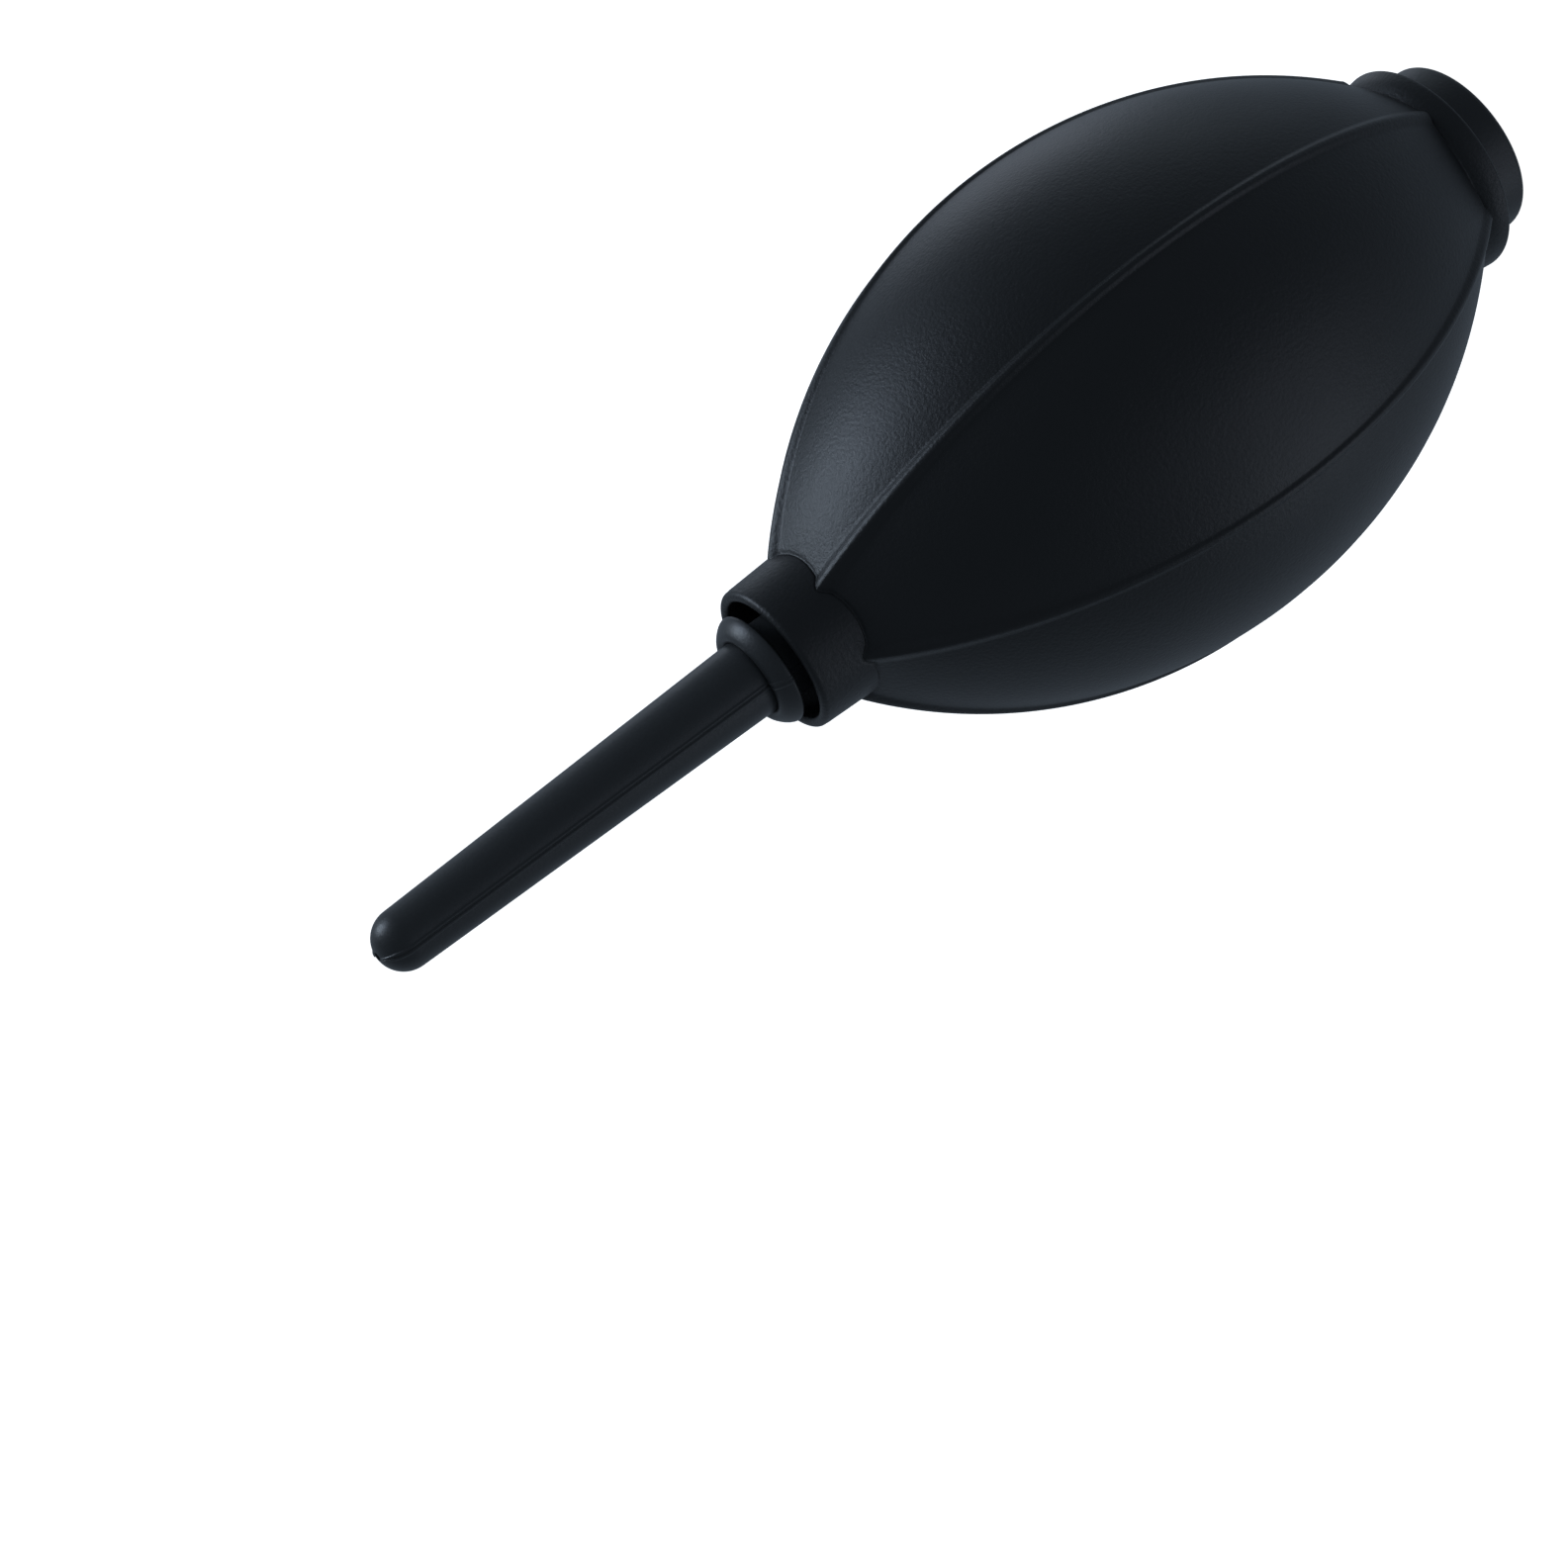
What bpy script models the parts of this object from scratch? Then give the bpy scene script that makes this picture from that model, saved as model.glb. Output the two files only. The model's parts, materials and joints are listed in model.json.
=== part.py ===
"""Dust blower bulb, standing on its tail with the nozzle up.

Metres, +Z up. The origin is the centre of the flat tail face. Six ribs run along the bulb, the first at +X,
so one panel faces -Y and its opposite faces +Y. The rubber is modelled at rest. Its two squeezed walls are
solids of their own that slide in along Y. The bending nozzle tilts about a point above its bead.
"""

import math

import bmesh
import bpy
from mathutils import Matrix

MM = 0.001
GAP = 0.3 * MM  # between pieces that touch on the real object

# Bulb: two circular arcs that meet at the widest plane
BULB_RADIUS = 27.5 * MM
WIDEST_Z = 48.3 * MM
FRONT_ARC = 2.104 * BULB_RADIUS
REAR_ARC = 2.267 * BULB_RADIUS
WALL = 2.6 * MM  # at a rib
MIDDLE_DIP = 0.15 * MM  # of a panel below the circle through the ribs' feet, at the widest plane
END_DIP = 0.9 * MM  # the same at END_DISTANCE from there, where the panels are nearly flat
END_DISTANCE = 40.0 * MM
RIB_COUNT = 6
RIB_WIDTH = 1.2 * MM
RIB_CREST_SHARE = 0.55  # of its width
RIB_HEIGHT = 0.35 * MM
PANEL_STEPS = 6  # facets across one panel
BULB_STATIONS = 16
CAVITY_STATIONS = 8

# Neck cuff, with a recess in its mouth
CUFF_BASE_RADIUS = 8.7 * MM
CUFF_TOP_RADIUS = 8.25 * MM
CUFF_BASE_Z = 86.4 * MM
CUFF_TOP_Z = 97.3 * MM
CUFF_ROUND = 0.5 * MM
CUFF_PLAIN_Z = 91.6 * MM  # above this the ribs have run out and the cuff is plain
CUFF_STEPS = 4
MOUTH_RADIUS = 7.1 * MM
MOUTH_FLOOR_Z = 95.4 * MM
NECK_BORE = 6.4 * MM
NECK_CEILING_Z = 87.4 * MM

# Tail flange: a flared skirt below the ends of the panels
PANEL_END_Z = 7.8 * MM
SKIRT_TOP_RADIUS = 11.35 * MM
SKIRT_TOP_Z = 7.6 * MM
SKIRT_MIDDLE_RADIUS = 11.95 * MM
SKIRT_MIDDLE_Z = 6.5 * MM
FLANGE_RADIUS = 12.25 * MM
FLANGE_BASE_Z = 4.5 * MM
FLANGE_EDGE_Z = 5.6 * MM
FLANGE_ROUND = 0.5 * MM
TAIL_BORE = 7.0 * MM
TAIL_FLOOR_Z = 8.5 * MM

# Squeezed walls: the part of the bulb inside an ellipse, seen along Y
WALL_HALF_WIDTH = 20.0 * MM
WALL_HALF_HEIGHT = 32.0 * MM
WALL_CUT_FROM_Y = 3.0 * MM
WALL_CUT_TO_Y = 36.0 * MM
WALL_CUT_SIDES = 44

# Nozzle
NOZZLE_TOP_Z = 147.5 * MM
NOZZLE_ROOT_RADIUS = 4.1 * MM
NOZZLE_TIP_RADIUS = 3.25 * MM
BEND_Z = 102.0 * MM  # the point that the nozzle tilts about
DUCT_RADIUS = 1.6 * MM
TIP_HOLE_RADIUS = 0.6 * MM
BEAD_CENTRE_RADIUS = 4.85 * MM
BEAD_THICKNESS = 1.25 * MM
BEAD_Z = 99.05 * MM
SEAT_RING_RADIUS = 6.2 * MM
SEAT_RING_TOP_Z = 96.6 * MM
SEAT_RING_ROUND = 0.3 * MM
PLUG_END_Z = 84.6 * MM
PLUG_BARB_DEPTH = 0.8 * MM
PLUG_BARB_RADIUS = 7.1 * MM
NOZZLE_SIDES = 30

# Intake valve in the tail
CAP_RADIUS = 10.1 * MM
CAP_ROUND = 0.8 * MM
CAP_SHOULDER_ROUND = 0.4 * MM
CAP_RECESS_RADIUS = 7.6 * MM
CAP_RECESS_TOP_Z = 3.4 * MM
SEAT_TOP_Z = 5.2 * MM
SEAT_HOLE_RADIUS = 1.8 * MM
CHAMBER_RADIUS = 5.2 * MM
BARREL_TOP_Z = 11.5 * MM
BARREL_BARB_RADIUS = 7.8 * MM
BARREL_BARB_DEPTH = 0.8 * MM
BARREL_LEAD_IN = 0.5 * MM
GRILLE_BASE_Z = 0.5 * MM
GRILLE_THICKNESS = 1.2 * MM
GRILLE_HOLE_RADIUS = 0.9 * MM
GRILLE_HOLE_CIRCLE = 4.2 * MM
GRILLE_HOLES = 6
FILTER_THICKNESS = 1.1 * MM
DISC_RADIUS = 4.2 * MM
DISC_THICKNESS = 1.0 * MM
DISC_LIFT = 1.2 * MM
RETAINER_HEIGHT = 1.5 * MM
RETAINER_HOLE_RADIUS = 3.4 * MM
RETAINER_BAR = 1.2 * MM
RETAINER_BAR_INSET = 0.1 * MM
DRILL_OVERRUN = 1.0 * MM
DRILL_SIDES = 14
VALVE_SIDES = 32

TURN = 2 * math.pi


def clear_scene():
    for obj in list(bpy.data.objects):
        bpy.data.objects.remove(obj, do_unlink=True)


def new_collection(name):
    collection = bpy.data.collections.new(name)
    bpy.context.scene.collection.children.link(collection)
    return collection


def new_material(name, colour, roughness):
    material = bpy.data.materials.new(name)
    material.use_nodes = True
    shader = material.node_tree.nodes["Principled BSDF"]
    shader.inputs["Base Color"].default_value = (*colour, 1.0)
    shader.inputs["Roughness"].default_value = roughness
    shader.inputs["Metallic"].default_value = 0.0
    return material


def finish_mesh(mesh, material):
    mesh.materials.append(material)
    mesh.shade_smooth()
    mesh.set_sharp_from_angle(angle=math.radians(35))


def new_object(name, mesh, collection):
    obj = bpy.data.objects.new(name, mesh)
    collection.objects.link(obj)
    return obj


def arc(radius, centre_r, centre_z, start, end, steps):
    """Points (r, z) on a circle in the profile plane, from start to end in degrees."""
    angles = [math.radians(start + (end - start) * i / steps) for i in range(steps + 1)]
    return [(centre_r + radius * math.cos(a), centre_z + radius * math.sin(a)) for a in angles]


def turned(name, profile, closed, sides, material, collection):
    """A solid of revolution about Z. The profile runs down its outer side; a closed one leaves a hole."""
    mesh = bpy.data.meshes.new(name)
    count = len(profile)
    edges = [(i, i + 1) for i in range(count - 1)]
    if closed:
        edges.append((count - 1, 0))
    mesh.from_pydata([(r, 0.0, z) for r, z in profile], edges, [])
    obj = new_object(name, mesh, collection)
    screw = obj.modifiers.new("turn", "SCREW")
    screw.axis = "Z"
    screw.angle = TURN
    screw.steps = sides
    screw.render_steps = sides
    screw.use_merge_vertices = True
    screw.merge_threshold = 0.01 * MM
    graph = bpy.context.evaluated_depsgraph_get()
    solid = bpy.data.meshes.new_from_object(obj.evaluated_get(graph))
    obj.modifiers.clear()
    obj.data = solid
    finish_mesh(solid, material)
    return obj


def boolean(obj, cutter, operation):
    modifier = obj.modifiers.new(operation.lower(), "BOOLEAN")
    modifier.operation = operation
    modifier.object = cutter


def new_cutter(name, mesh, collection):
    obj = new_object(name, mesh, collection)
    obj.hide_render = True
    obj.display_type = "WIRE"
    return obj


def cylinder_cutter(name, radius, base_z, top_z, place, sides, collection):
    form = bmesh.new()
    bmesh.ops.create_cone(
        form, cap_ends=True, segments=sides, radius1=radius, radius2=radius, depth=top_z - base_z
    )
    bmesh.ops.translate(form, vec=(place[0], place[1], (base_z + top_z) / 2), verts=form.verts)
    mesh = bpy.data.meshes.new(name)
    form.to_mesh(mesh)
    form.free()
    return new_cutter(name, mesh, collection)


def bulb_radius(z):
    """Radius of the circle through the ribs' feet at height z."""
    along = z - WIDEST_Z
    curve = FRONT_ARC if along > 0 else REAR_ARC
    return BULB_RADIUS - curve + math.sqrt(curve * curve - along * along)


def panel_dip(z):
    share = (z - WIDEST_Z) / END_DISTANCE
    return MIDDLE_DIP + (END_DIP - MIDDLE_DIP) * share * share


def section(z, radius, dip=0.0, rib=0.0, collar=0.0):
    """One ring of points at height z: ribs with panels between them, never narrower than the collar."""
    half_rib = math.asin(RIB_WIDTH / 2 / radius)
    half_sector = math.pi / RIB_COUNT
    ring = []
    for sector in range(RIB_COUNT):
        middle = sector * 2 * half_sector
        for side in (-RIB_CREST_SHARE, RIB_CREST_SHARE):
            raised = max(radius + rib, collar)
            ring.append((raised, middle + side * half_rib))
        for step in range(PANEL_STEPS + 1):
            from_middle = half_rib + (2 * half_sector - 2 * half_rib) * step / PANEL_STEPS
            across = (from_middle - half_sector) / (half_sector - half_rib)
            surface = max(radius - dip * (1 - across * across), collar)
            ring.append((surface, middle + from_middle))
    return [(r * math.cos(angle), r * math.sin(angle), z) for r, angle in ring]


def cuff_sections():
    """Outer side of the cuff, from its rounded rim down to where the panels rise through it."""
    corner = CUFF_TOP_RADIUS - CUFF_ROUND
    rim = arc(CUFF_ROUND, corner, CUFF_TOP_Z - CUFF_ROUND, 90, 0, 3)
    rings = [section(z, r) for r, z in rim]
    for step in range(CUFF_STEPS + 1):
        z = CUFF_PLAIN_Z + (CUFF_BASE_Z - CUFF_PLAIN_Z) * step / CUFF_STEPS
        up = (z - CUFF_BASE_Z) / (CUFF_TOP_Z - CUFF_BASE_Z)
        collar = CUFF_BASE_RADIUS + (CUFF_TOP_RADIUS - CUFF_BASE_RADIUS) * up
        rings.append(section(z, bulb_radius(z), panel_dip(z), RIB_HEIGHT, collar))
    return rings


def panel_sections():
    """Outer side of the bulb, in steps of equal angle along its two arcs."""
    rings = []
    high = math.asin((CUFF_BASE_Z - WIDEST_Z) / FRONT_ARC)
    low = math.asin((PANEL_END_Z - WIDEST_Z) / REAR_ARC)
    for step in range(1, BULB_STATIONS + 1):
        angle = high + (low - high) * step / BULB_STATIONS
        z = WIDEST_Z + (FRONT_ARC if angle > 0 else REAR_ARC) * math.sin(angle)
        rings.append(section(z, bulb_radius(z), panel_dip(z), RIB_HEIGHT))
    return rings


def flange_sections():
    corner = FLANGE_RADIUS - FLANGE_ROUND
    skirt = [(SKIRT_TOP_RADIUS, SKIRT_TOP_Z), (SKIRT_MIDDLE_RADIUS, SKIRT_MIDDLE_Z)]
    skirt.append((FLANGE_RADIUS, FLANGE_EDGE_Z))
    base = arc(FLANGE_ROUND, corner, FLANGE_BASE_Z + FLANGE_ROUND, 0, -90, 3)
    return [section(z, r) for r, z in skirt + base]


def cavity_sections():
    """Inner side, from the tail up: tail bore, air chamber, neck bore and the recess in the mouth."""
    rings = [section(FLANGE_BASE_Z, TAIL_BORE), section(TAIL_FLOOR_Z, TAIL_BORE)]
    high = math.asin((NECK_CEILING_Z - WIDEST_Z) / FRONT_ARC)
    low = math.asin((TAIL_FLOOR_Z - WIDEST_Z) / REAR_ARC)
    for step in range(CAVITY_STATIONS + 1):
        angle = low + (high - low) * step / CAVITY_STATIONS
        z = WIDEST_Z + (FRONT_ARC if angle > 0 else REAR_ARC) * math.sin(angle)
        rings.append(section(z, bulb_radius(z) - WALL))
    rings.append(section(NECK_CEILING_Z, NECK_BORE))
    rings.append(section(MOUTH_FLOOR_Z, NECK_BORE))
    rings.append(section(MOUTH_FLOOR_Z, MOUTH_RADIUS))
    rings.append(section(CUFF_TOP_Z - GAP, MOUTH_RADIUS))
    return rings


def bulb_mesh(name, material):
    """The whole rubber wall as one closed loft, outside from neck to tail and back up inside."""
    rings = cuff_sections() + panel_sections() + flange_sections() + cavity_sections()
    across = len(rings[0])
    points = [point for ring in rings for point in ring]
    faces = []
    for i in range(len(rings)):
        upper = i * across
        lower = (i + 1) % len(rings) * across
        for j in range(across):
            k = (j + 1) % across
            faces.append((upper + j, lower + j, lower + k, upper + k))
    mesh = bpy.data.meshes.new(name)
    mesh.from_pydata(points, [], faces)
    finish_mesh(mesh, material)
    return mesh


def wall_cutter(name, side, grow, collection):
    """An elliptical prism along Y over one side of the bulb. Side is -1 at the front and 1 at the back."""
    form = bmesh.new()
    bmesh.ops.create_cone(
        form,
        cap_ends=True,
        segments=WALL_CUT_SIDES,
        radius1=1.0,
        radius2=1.0,
        depth=WALL_CUT_TO_Y - WALL_CUT_FROM_Y,
    )
    bmesh.ops.scale(form, vec=(WALL_HALF_WIDTH + grow, WALL_HALF_HEIGHT + grow, 1.0), verts=form.verts)
    bmesh.ops.rotate(form, matrix=Matrix.Rotation(math.pi / 2, 3, "X"), verts=form.verts)
    middle = side * (WALL_CUT_FROM_Y + WALL_CUT_TO_Y) / 2
    bmesh.ops.translate(form, vec=(0.0, middle, WIDEST_Z), verts=form.verts)
    mesh = bpy.data.meshes.new(name)
    form.to_mesh(mesh)
    form.free()
    return new_cutter(name, mesh, collection)


def make_bulb(parts, cutters, material):
    shell = new_object("bulb_shell", bulb_mesh("bulb_shell", material), parts)
    for label, side in (("front", -1), ("back", 1)):
        boolean(shell, wall_cutter(f"{label}_opening", side, GAP, cutters), "DIFFERENCE")
        name = f"squeeze_wall_{label}"
        wall = new_object(name, bulb_mesh(name, material), parts)
        boolean(wall, wall_cutter(f"{label}_outline", side, 0.0, cutters), "INTERSECT")


def make_nozzle_base(parts, material):
    """Bead, seating ring and barbed plug around the air duct, with a cup for the tube's round end."""
    cup = NOZZLE_ROOT_RADIUS + GAP
    cup_edge = -math.degrees(math.asin((BEND_Z - BEAD_Z - BEAD_THICKNESS) / cup))
    cup_end = -math.degrees(math.acos(DUCT_RADIUS / cup))
    plug = NECK_BORE - GAP
    ring_corner = SEAT_RING_RADIUS - SEAT_RING_ROUND
    ring_base = MOUTH_FLOOR_Z + GAP
    barb_top = NECK_CEILING_Z - GAP
    profile = arc(BEAD_THICKNESS, BEAD_CENTRE_RADIUS, BEAD_Z, 90, -90, 8)
    profile.append((BEAD_CENTRE_RADIUS, SEAT_RING_TOP_Z))
    profile += arc(SEAT_RING_ROUND, ring_corner, SEAT_RING_TOP_Z - SEAT_RING_ROUND, 90, 0, 2)
    profile += arc(SEAT_RING_ROUND, ring_corner, ring_base + SEAT_RING_ROUND, 0, -90, 2)
    profile += [(plug, ring_base), (plug, barb_top)]
    profile += [(PLUG_BARB_RADIUS, barb_top), (PLUG_BARB_RADIUS, barb_top - PLUG_BARB_DEPTH)]
    profile += [(plug, PLUG_END_Z), (DUCT_RADIUS, PLUG_END_Z)]
    profile += arc(cup, 0.0, BEND_Z, cup_end, cup_edge, 4)
    return turned("nozzle_base", profile, True, NOZZLE_SIDES, material, parts)


def make_nozzle_tube(parts, material):
    """The tapered flexible tube, domed at the tip, with a round lower end about the bend point."""
    dome_z = NOZZLE_TOP_Z - NOZZLE_TIP_RADIUS
    hole_angle = math.degrees(math.acos(TIP_HOLE_RADIUS / NOZZLE_TIP_RADIUS))
    end_angle = -math.degrees(math.acos(DUCT_RADIUS / NOZZLE_ROOT_RADIUS))
    profile = arc(NOZZLE_TIP_RADIUS, 0.0, dome_z, hole_angle, 0, 5)
    profile += arc(NOZZLE_ROOT_RADIUS, 0.0, BEND_Z, 0, end_angle, 5)
    profile += [(TIP_HOLE_RADIUS, dome_z)]
    return turned("nozzle_tube", profile, True, NOZZLE_SIDES, material, parts)


def make_valve_housing(parts, material):
    """Tail cap and valve barrel in one. Its flat rim is what the blower stands on."""
    barrel = TAIL_BORE - GAP
    cap_top = FLANGE_BASE_Z - GAP
    corner = CAP_RADIUS - CAP_ROUND
    barb_base = TAIL_FLOOR_Z + GAP
    profile = [(CHAMBER_RADIUS, BARREL_TOP_Z), (barrel - BARREL_LEAD_IN, BARREL_TOP_Z)]
    profile += [(BARREL_BARB_RADIUS, barb_base + BARREL_BARB_DEPTH), (BARREL_BARB_RADIUS, barb_base)]
    profile += [(barrel, barb_base), (barrel, cap_top)]
    shoulder = CAP_RADIUS - CAP_SHOULDER_ROUND
    profile += arc(CAP_SHOULDER_ROUND, shoulder, cap_top - CAP_SHOULDER_ROUND, 90, 0, 2)
    profile += arc(CAP_ROUND, corner, CAP_ROUND, 0, -90, 4)
    profile += [(CAP_RECESS_RADIUS, 0.0), (CAP_RECESS_RADIUS, CAP_RECESS_TOP_Z)]
    profile += [(SEAT_HOLE_RADIUS, CAP_RECESS_TOP_Z), (SEAT_HOLE_RADIUS, SEAT_TOP_Z)]
    profile += [(CHAMBER_RADIUS, SEAT_TOP_Z)]
    return turned("valve_housing", profile, True, VALVE_SIDES, material, parts)


def disc(name, radius, base_z, thickness, parts, material):
    top_z = base_z + thickness
    profile = [(0.0, top_z), (radius, top_z), (radius, base_z), (0.0, base_z)]
    return turned(name, profile, False, VALVE_SIDES, material, parts)


def make_grille(parts, cutters, material):
    grille = disc("intake_grille", CAP_RECESS_RADIUS - GAP, GRILLE_BASE_Z, GRILLE_THICKNESS, parts, material)
    below = GRILLE_BASE_Z - DRILL_OVERRUN
    above = GRILLE_BASE_Z + GRILLE_THICKNESS + DRILL_OVERRUN
    places = [(0.0, 0.0)]
    for i in range(GRILLE_HOLES):
        angle = TURN * (i + 0.5) / GRILLE_HOLES
        places.append((GRILLE_HOLE_CIRCLE * math.cos(angle), GRILLE_HOLE_CIRCLE * math.sin(angle)))
    for i, place in enumerate(places):
        name = f"grille_drill_{i}"
        drill = cylinder_cutter(name, GRILLE_HOLE_RADIUS, below, above, place, DRILL_SIDES, cutters)
        boolean(grille, drill, "DIFFERENCE")


def make_retainer(parts, cutters, material):
    """A ring with a cross of two bars that stops the valve disc."""
    base = SEAT_TOP_Z + GAP + DISC_THICKNESS + DISC_LIFT + GAP
    outer = CHAMBER_RADIUS - GAP
    top = base + RETAINER_HEIGHT
    profile = [(outer, top), (outer, base), (RETAINER_HOLE_RADIUS, base), (RETAINER_HOLE_RADIUS, top)]
    retainer = turned("valve_retainer", profile, True, VALVE_SIDES, material, parts)
    half_length = (outer + RETAINER_HOLE_RADIUS) / 2
    for i, size in enumerate(((half_length, RETAINER_BAR / 2), (RETAINER_BAR / 2, half_length))):
        form = bmesh.new()
        bmesh.ops.create_cube(form, size=2.0)
        bmesh.ops.scale(form, vec=(*size, RETAINER_HEIGHT / 2 - RETAINER_BAR_INSET), verts=form.verts)
        bmesh.ops.translate(form, vec=(0.0, 0.0, (base + top) / 2), verts=form.verts)
        mesh = bpy.data.meshes.new(f"retainer_bar_{i}")
        form.to_mesh(mesh)
        form.free()
        boolean(retainer, new_cutter(f"retainer_bar_{i}", mesh, cutters), "UNION")


def main():
    clear_scene()
    parts = new_collection("dust_blower_bulb")
    cutters = new_collection("cutters")
    bulb_rubber = new_material("bulb_rubber", (0.012, 0.013, 0.016), 0.55)
    nozzle_rubber = new_material("nozzle_rubber", (0.011, 0.012, 0.014), 0.48)
    valve_plastic = new_material("valve_plastic", (0.018, 0.018, 0.020), 0.42)
    filter_foam = new_material("filter_foam", (0.05, 0.05, 0.055), 0.95)
    make_bulb(parts, cutters, bulb_rubber)
    make_nozzle_base(parts, nozzle_rubber)
    make_nozzle_tube(parts, nozzle_rubber)
    make_valve_housing(parts, valve_plastic)
    make_grille(parts, cutters, valve_plastic)
    filter_z = GRILLE_BASE_Z + GRILLE_THICKNESS + GAP
    disc("dust_filter", CAP_RECESS_RADIUS - GAP, filter_z, FILTER_THICKNESS, parts, filter_foam)
    disc("valve_disc", DISC_RADIUS, SEAT_TOP_Z + GAP, DISC_THICKNESS, parts, bulb_rubber)
    make_retainer(parts, cutters, valve_plastic)


main()
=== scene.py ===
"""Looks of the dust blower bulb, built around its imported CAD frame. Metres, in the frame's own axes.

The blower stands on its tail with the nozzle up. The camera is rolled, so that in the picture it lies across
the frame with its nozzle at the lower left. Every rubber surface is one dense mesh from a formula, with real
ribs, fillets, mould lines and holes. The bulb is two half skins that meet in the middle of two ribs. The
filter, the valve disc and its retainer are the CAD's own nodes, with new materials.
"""

import json
import math

import bmesh
import bpy
import numpy as np
from mathutils import Matrix, Vector


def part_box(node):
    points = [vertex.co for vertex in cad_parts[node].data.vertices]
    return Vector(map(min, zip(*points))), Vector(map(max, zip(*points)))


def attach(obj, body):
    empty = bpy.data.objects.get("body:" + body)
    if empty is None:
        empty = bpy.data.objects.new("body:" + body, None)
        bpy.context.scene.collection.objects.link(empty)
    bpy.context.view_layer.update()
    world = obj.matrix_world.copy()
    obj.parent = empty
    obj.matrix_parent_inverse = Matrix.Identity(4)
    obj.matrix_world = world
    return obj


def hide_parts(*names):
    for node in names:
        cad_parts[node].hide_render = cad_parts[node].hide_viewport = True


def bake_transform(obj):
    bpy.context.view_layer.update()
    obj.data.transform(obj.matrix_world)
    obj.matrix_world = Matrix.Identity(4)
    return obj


MM = 0.001
NEARLY_ZERO = 1e-15
WHITE = (1.0, 1.0, 1.0, 1.0)
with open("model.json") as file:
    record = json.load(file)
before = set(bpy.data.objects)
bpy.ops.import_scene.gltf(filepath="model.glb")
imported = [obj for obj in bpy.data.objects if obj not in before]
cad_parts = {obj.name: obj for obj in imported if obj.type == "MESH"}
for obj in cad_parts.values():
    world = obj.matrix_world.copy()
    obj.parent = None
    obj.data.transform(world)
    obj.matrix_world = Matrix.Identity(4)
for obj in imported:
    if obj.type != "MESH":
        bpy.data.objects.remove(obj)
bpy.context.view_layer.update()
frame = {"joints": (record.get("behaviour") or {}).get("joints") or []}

# Sizes that come from the frame
SHELL_LOW, SHELL_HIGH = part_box("bulb_shell")
NOZZLE_TOP_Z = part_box("nozzle_tube")[1].z
JOINTS = {joint["name"]: joint for joint in frame["joints"]}
BEND_Z = JOINTS["nozzle_bend"]["pos_m"][2]
CUFF_TOP_Z = SHELL_HIGH.z
FLANGE_BASE_Z = SHELL_LOW.z

# Bulb: as in the CAD, but with rounder ribs that are bolder at their ends, and a deeper mouth
RIB_HEIGHT = 0.35 * MM
BULB_RADIUS = SHELL_HIGH.x - RIB_HEIGHT
WIDEST_Z = 48.3 * MM
FRONT_ARC = 2.104 * BULB_RADIUS
REAR_ARC = 2.267 * BULB_RADIUS
MIDDLE_DIP = 0.15 * MM  # of a panel below the circle through the ribs' feet, at the widest plane
END_DIP = 0.9 * MM  # the same at END_DISTANCE from there, where the panels are nearly flat
END_DISTANCE = 40.0 * MM
WALL = 2.6 * MM
RIB_COUNT = 6
RIB_END_HEIGHT = 0.55 * MM  # at END_DISTANCE from the widest plane, where the ribs are bolder
RIB_FLAT = 0.17 * MM  # half width of a rib's flat crest
RIB_FOOT = 0.72 * MM  # half width at its foot, at the widest plane
RIB_END_FOOT = 1.35 * MM
RIB_GROWTH_LIMIT = 1.1  # of the growth from the widest plane to END_DISTANCE
CREST_SHARES = (0.0, 0.5, 0.85)  # columns on half a crest, as shares of its half width
FLANK_SHARES = (0.0, 0.12, 0.25, 0.38, 0.5, 0.62, 0.75, 0.88, 1.0, 1.15, 1.4)  # columns down a flank
PANEL_COLUMNS = 16
PROFILE_RINGS = 96  # down the bulb between the cuff and the tail
INNER_RINGS = 26
PANEL_RADIUS_MIN = 8.0 * MM  # columns are placed as on a ring at least this wide, so that ribs keep apart
ROUND_RADIUS_MIN = 6.0 * MM  # the same where the bulb has no ribs

CUFF_TOP_RADIUS = 8.25 * MM
CUFF_BASE_RADIUS = 8.7 * MM
CUFF_BASE_Z = 86.4 * MM
CUFF_FILLET = 0.14 * MM
CUFF_CREASE_DEPTH = 0.13 * MM  # the fine groove where a panel meets the cuff
CUFF_CREASE_WIDTH = 0.14 * MM
CUFF_BLEND_Z = 80.0 * MM  # the cuff and its fillet are added above this height
CUFF_WIDE_RINGS = (96.3, 92.0, -0.5)  # start, end and step in mm
CUFF_CLOSE_RINGS = (91.9, 85.6, -0.08)  # over the fillet and the crease
ARC_RINGS_TOP_Z = 85.5 * MM
RIM_OUTER_ROUND = 0.6 * MM
RIM_INNER_ROUND = 0.45 * MM
MOUTH_RADIUS = 7.1 * MM
MOUTH_FLOOR_Z = 91.3 * MM  # deeper than in the CAD, so that the gap round the stem is dark
MOUTH_FLOOR_CHAMFER = 0.2 * MM
NECK_BORE = 6.4 * MM
NECK_CEILING_Z = 87.4 * MM

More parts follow.
